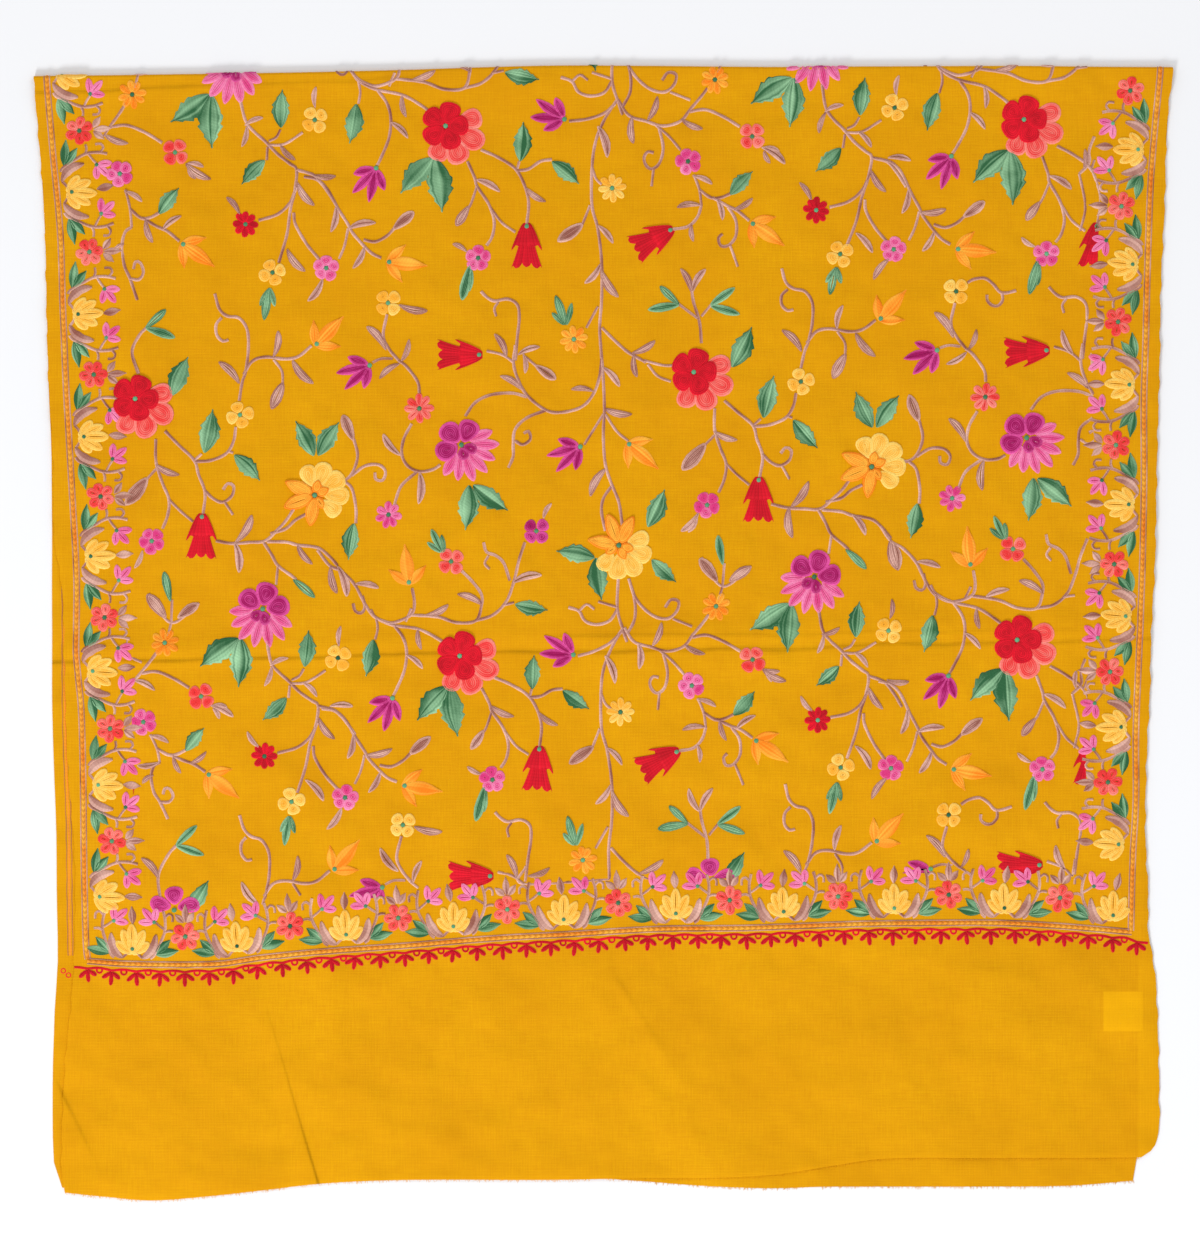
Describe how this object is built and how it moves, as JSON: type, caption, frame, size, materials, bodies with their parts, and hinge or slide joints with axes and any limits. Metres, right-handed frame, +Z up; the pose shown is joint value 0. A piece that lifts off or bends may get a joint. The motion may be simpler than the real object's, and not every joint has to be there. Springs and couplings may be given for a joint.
{
  "type": "embroidered shawl",
  "caption": "Fine wool shawl folded once across and laid flat, with an all-over floral embroidered field, a flower border and a plain end panel.",
  "frame": {"origin": "on the floor, in the middle of the folded shawl's outline", "axes": "+Z up off the floor, +Y towards the fold, +X towards the right-hand long edge"},
  "size_m": [1.048, 1.0442, 0.0054],
  "materials": {
    "cloth": "fine mustard-yellow wool twill, soft matt, embroidered with coloured wool yarn",
    "cloth_reverse": "reverse of the same wool cloth, with the backs of the stitches",
    "label_cloth": "plain pale woven label tape, no lettering"
  },
  "bodies": {
    "root": {"lower_half": "cloth_reverse", "fold_bend": "cloth", "upper_half": "cloth", "care_label": "label_cloth"}
  },
  "joints": []
}
